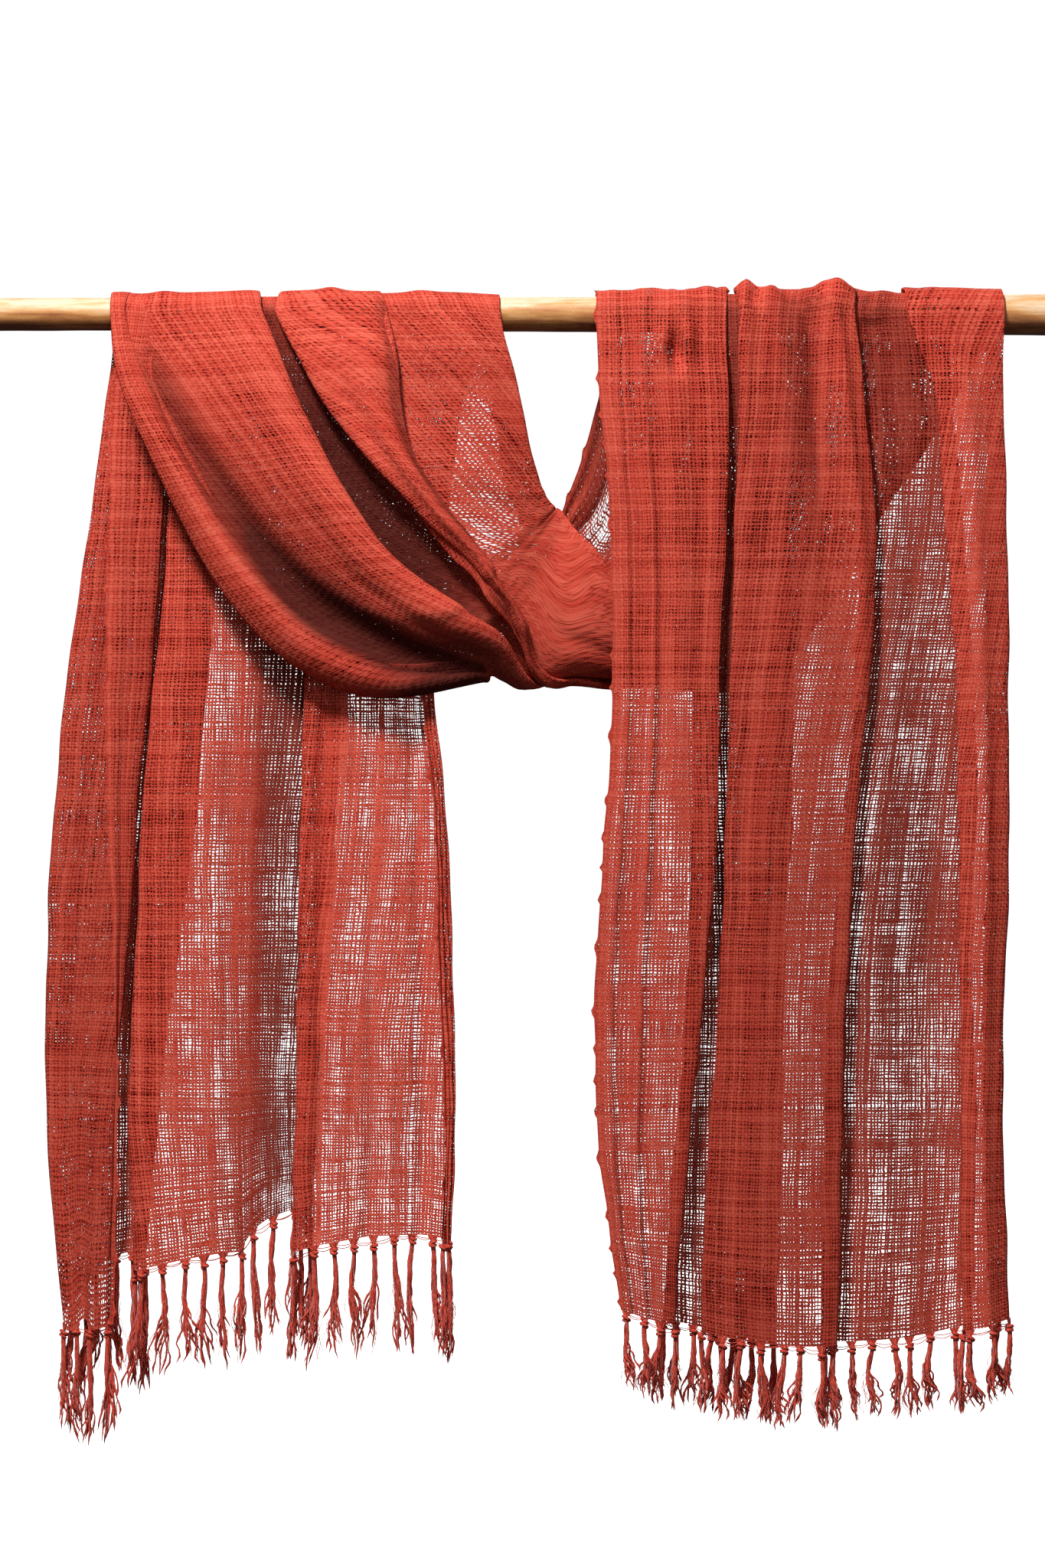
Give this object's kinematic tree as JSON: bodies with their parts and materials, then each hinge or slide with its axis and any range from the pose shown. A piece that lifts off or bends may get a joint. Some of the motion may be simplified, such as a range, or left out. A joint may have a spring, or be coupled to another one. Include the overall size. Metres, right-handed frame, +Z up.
{
  "type": "fringed scarf draped over a rod",
  "caption": "Long open-weave scarf with knotted fringes, pleated lengthways and slung over a horizontal wooden rod, one end behind it and one in front.",
  "frame": {"origin": "on the rod's axis at the middle of the picture's width, where the rod is held", "axes": "+X along the rod to the picture's right, +Z up, -Y towards the picture's camera"},
  "size_m": [0.85, 0.0834, 0.7923],
  "materials": {
    "gauze": "matte open weave of slubbed yarn, brick red",
    "yarn": "soft fluffy yarn, brick red",
    "wood": "peeled natural stick, satin, honey brown"
  },
  "bodies": {
    "root": {"left_tail": "gauze", "swag": "gauze", "right_rise": "gauze", "right_tail": "gauze", "left_fringe": "yarn", "right_fringe": "yarn", "rod": "wood"}
  },
  "joints": []
}
